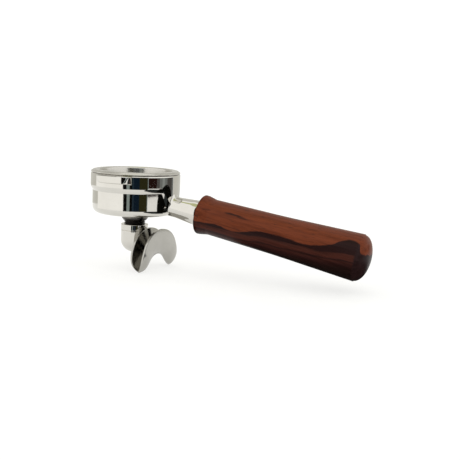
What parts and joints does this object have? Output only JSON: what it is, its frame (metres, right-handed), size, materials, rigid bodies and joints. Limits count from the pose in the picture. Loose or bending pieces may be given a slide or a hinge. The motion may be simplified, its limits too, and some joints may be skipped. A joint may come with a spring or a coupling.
{
  "type": "espresso portafilter",
  "caption": "Chromed 58 mm portafilter with a lift-out filter basket, bayonet ears, a screw-on open double spout and a turned wooden handle.",
  "frame": {"origin": "on the bore axis of the filter holder, in the top plane of the basket's rim, where it meets the group's gasket", "axes": "+Z along the bore axis, up into the machine's group; +X from the bore towards the handle; +Y completes a right-handed frame"},
  "size_m": [0.2255, 0.0792, 0.077],
  "materials": {
    "chrome": "mirror-polished chrome plate",
    "satin_chrome": "chrome plate over a softly polished casting",
    "stainless": "pressed stainless steel, finely spun",
    "spring_steel": "drawn steel",
    "black_steel": "dark oiled steel, turned",
    "brass": "machined brass",
    "rubber": "matt black",
    "fibre": "pressed vulcanised fibre",
    "wood": "dark reddish rosewood with near-black streaks, satin-gloss lacquer"
  },
  "bodies": {
    "holder": {"filter_holder": "chrome", "basket_spring": "spring_steel", "handle_neck": "chrome", "neck_washer": "rubber", "handle_stud": "spring_steel", "handle_insert": "brass", "wood_handle": "wood", "outlet_nipple": "black_steel"},
    "basket": {"filter_basket": "stainless"},
    "gasket": {"spout_gasket": "fibre"},
    "spout": {"spout_cup": "chrome", "spout_chute": "satin_chrome"}
  },
  "joints": [
    {"name": "basket_lift", "type": "slide", "parent": "holder", "child": "basket", "axis": [0, 0, 1], "range_m": [0, 0.032]},
    {"name": "spout_descend", "type": "slide", "parent": "holder", "child": "gasket", "axis": [0, 0, -1], "range_m": [0, 0.0068]},
    {"name": "spout_turn", "type": "hinge", "parent": "gasket", "child": "spout", "pos_m": [0, 0, -0.05], "axis": [0, 0, -1], "range_deg": [0, 1800]}
  ],
  "couplings": [
    {"joint": "spout_descend", "follows": "spout_turn", "m_per_rad": 0.00021279}
  ]
}
